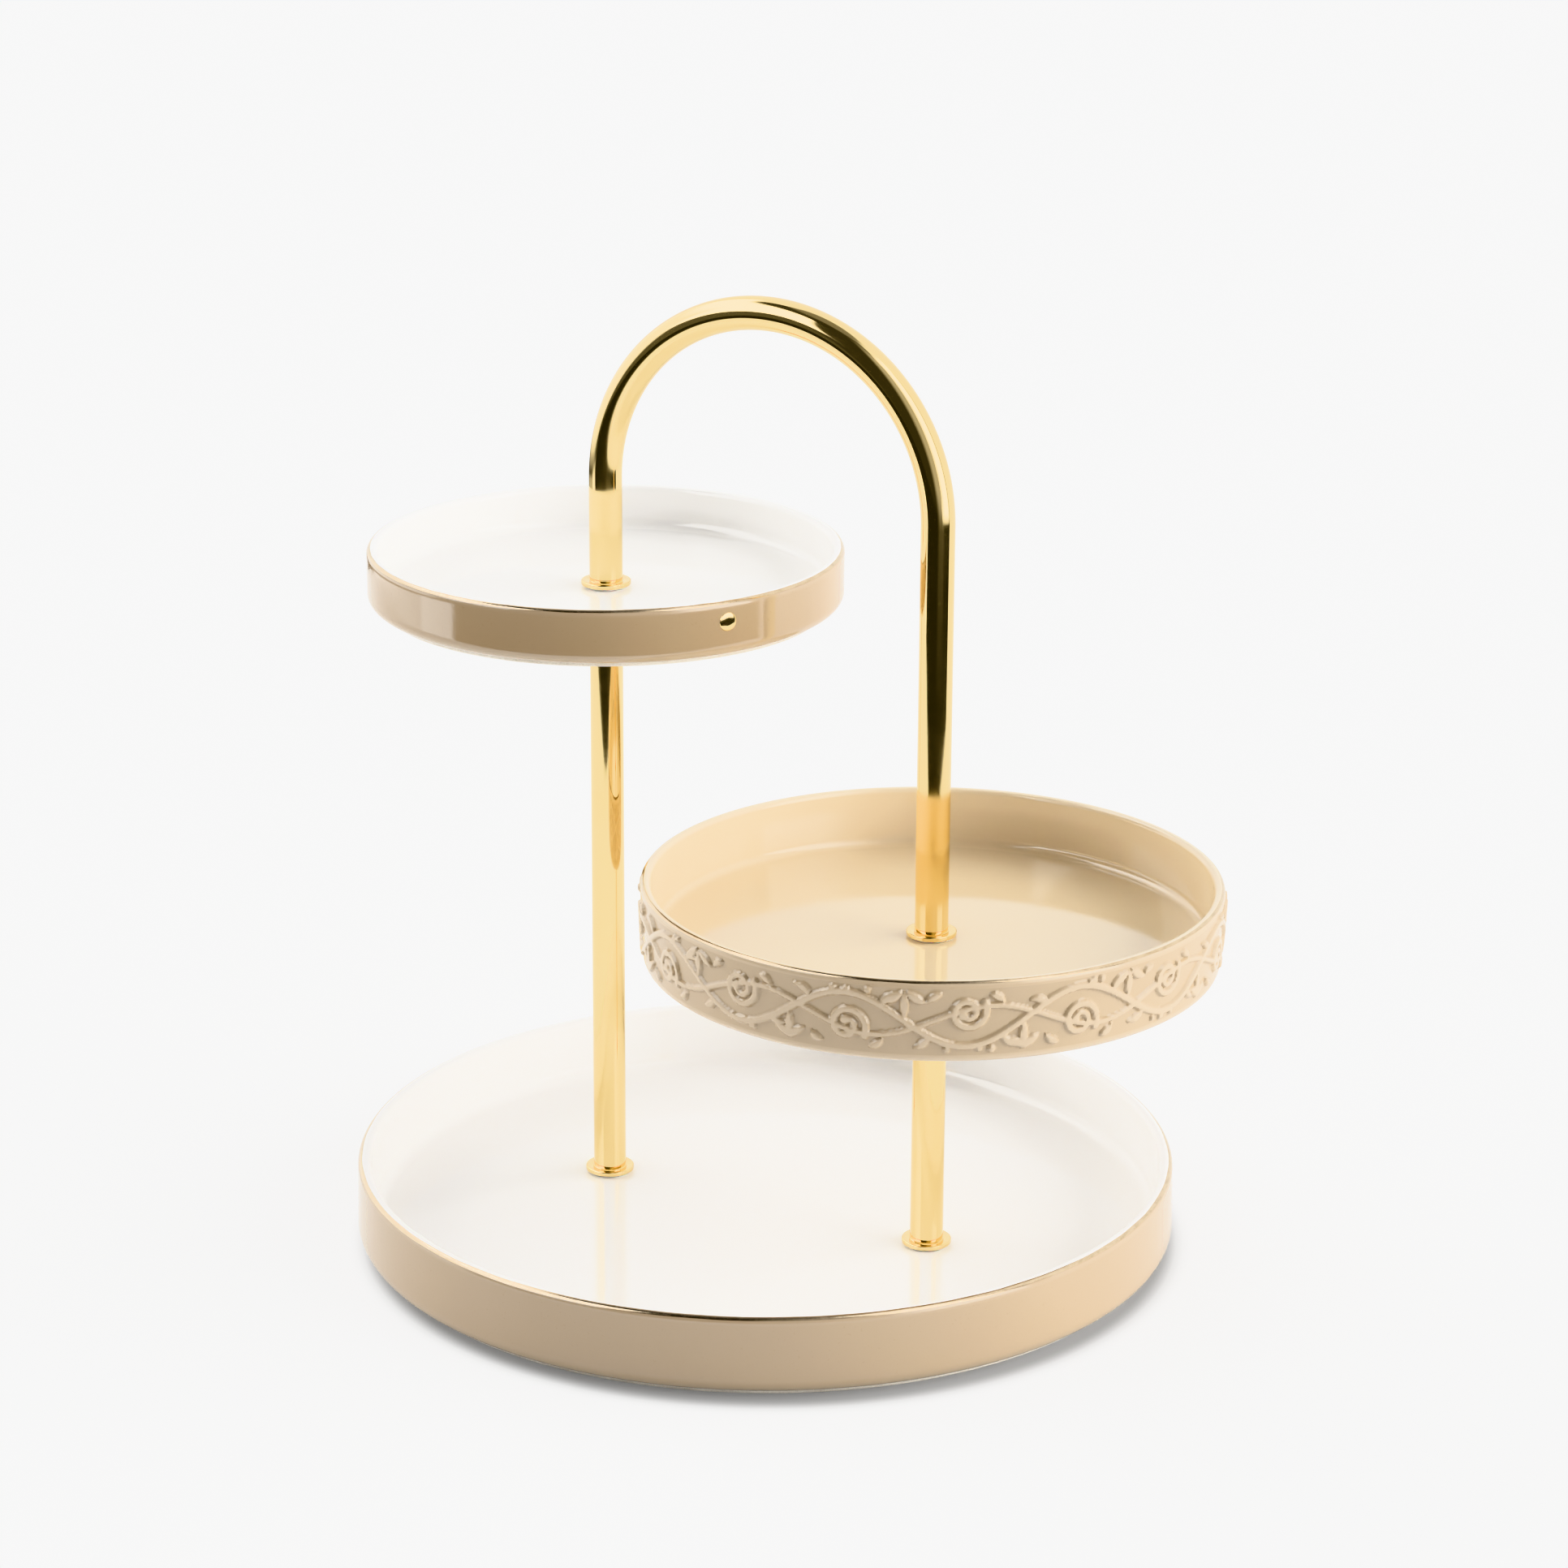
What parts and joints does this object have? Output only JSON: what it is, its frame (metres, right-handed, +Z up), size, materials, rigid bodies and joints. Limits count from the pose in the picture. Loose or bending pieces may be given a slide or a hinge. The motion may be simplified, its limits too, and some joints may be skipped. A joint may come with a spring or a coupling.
{
  "type": "tiered cake stand",
  "caption": "Cake stand: round glazed trays at staggered heights, clamped to a gilt tube frame whose posts join in a carrying arch.",
  "frame": {"origin": "on the base tray's vertical axis, in the plane of the table that it stands on", "axes": "+Z up; +X from the left post to the right post, towards the middle tray; -Y is the front"},
  "size_m": [0.3237, 0.3, 0.3486],
  "materials": {
    "white_glaze": "glossy white glaze inside, glossy beige glaze outside, gilt line on the lip",
    "beige_glaze": "glossy beige glaze, satin on the outer relief, gilt line on the lip",
    "polished_gold": "mirror polished, gold plated",
    "plain_steel": "plain turned steel",
    "clear_silicone": "clear silicone, matte"
  },
  "bodies": {
    "frame": {"base_tray": "white_glaze", "handle_arch": "polished_gold", "left_post": "polished_gold", "left_post_lower_insert": "plain_steel", "left_post_upper_insert": "plain_steel", "arch_left_insert": "plain_steel", "base_left_bush": "clear_silicone", "base_left_gasket": "clear_silicone", "base_left_upper_collar": "polished_gold", "base_left_washer": "plain_steel", "base_left_screw": "plain_steel", "right_post": "polished_gold", "right_post_lower_insert": "plain_steel", "right_post_upper_insert": "plain_steel", "arch_right_insert": "plain_steel", "base_right_bush": "clear_silicone", "base_right_gasket": "clear_silicone", "base_right_upper_collar": "polished_gold", "base_right_washer": "plain_steel", "base_right_screw": "plain_steel", "top_tray_bush": "clear_silicone", "top_tray_lower_gasket": "clear_silicone", "top_tray_upper_collar": "polished_gold", "top_tray_lower_collar": "polished_gold", "top_tray_stud": "plain_steel", "mid_tray_bush": "clear_silicone", "mid_tray_lower_gasket": "clear_silicone", "mid_tray_upper_collar": "polished_gold", "mid_tray_lower_collar": "polished_gold", "mid_tray_stud": "plain_steel"},
    "top_tray": {"top_tray": "white_glaze"},
    "mid_tray": {"mid_tray": "beige_glaze"}
  },
  "joints": [
    {"name": "top_tray_swivel", "type": "hinge", "parent": "frame", "child": "top_tray", "pos_m": [-0.0672, 0, 0.2328], "axis": [0, 0, 1], "continuous": true},
    {"name": "mid_tray_swivel", "type": "hinge", "parent": "frame", "child": "mid_tray", "pos_m": [0.0672, 0, 0.12275], "axis": [0, 0, 1], "continuous": true}
  ]
}
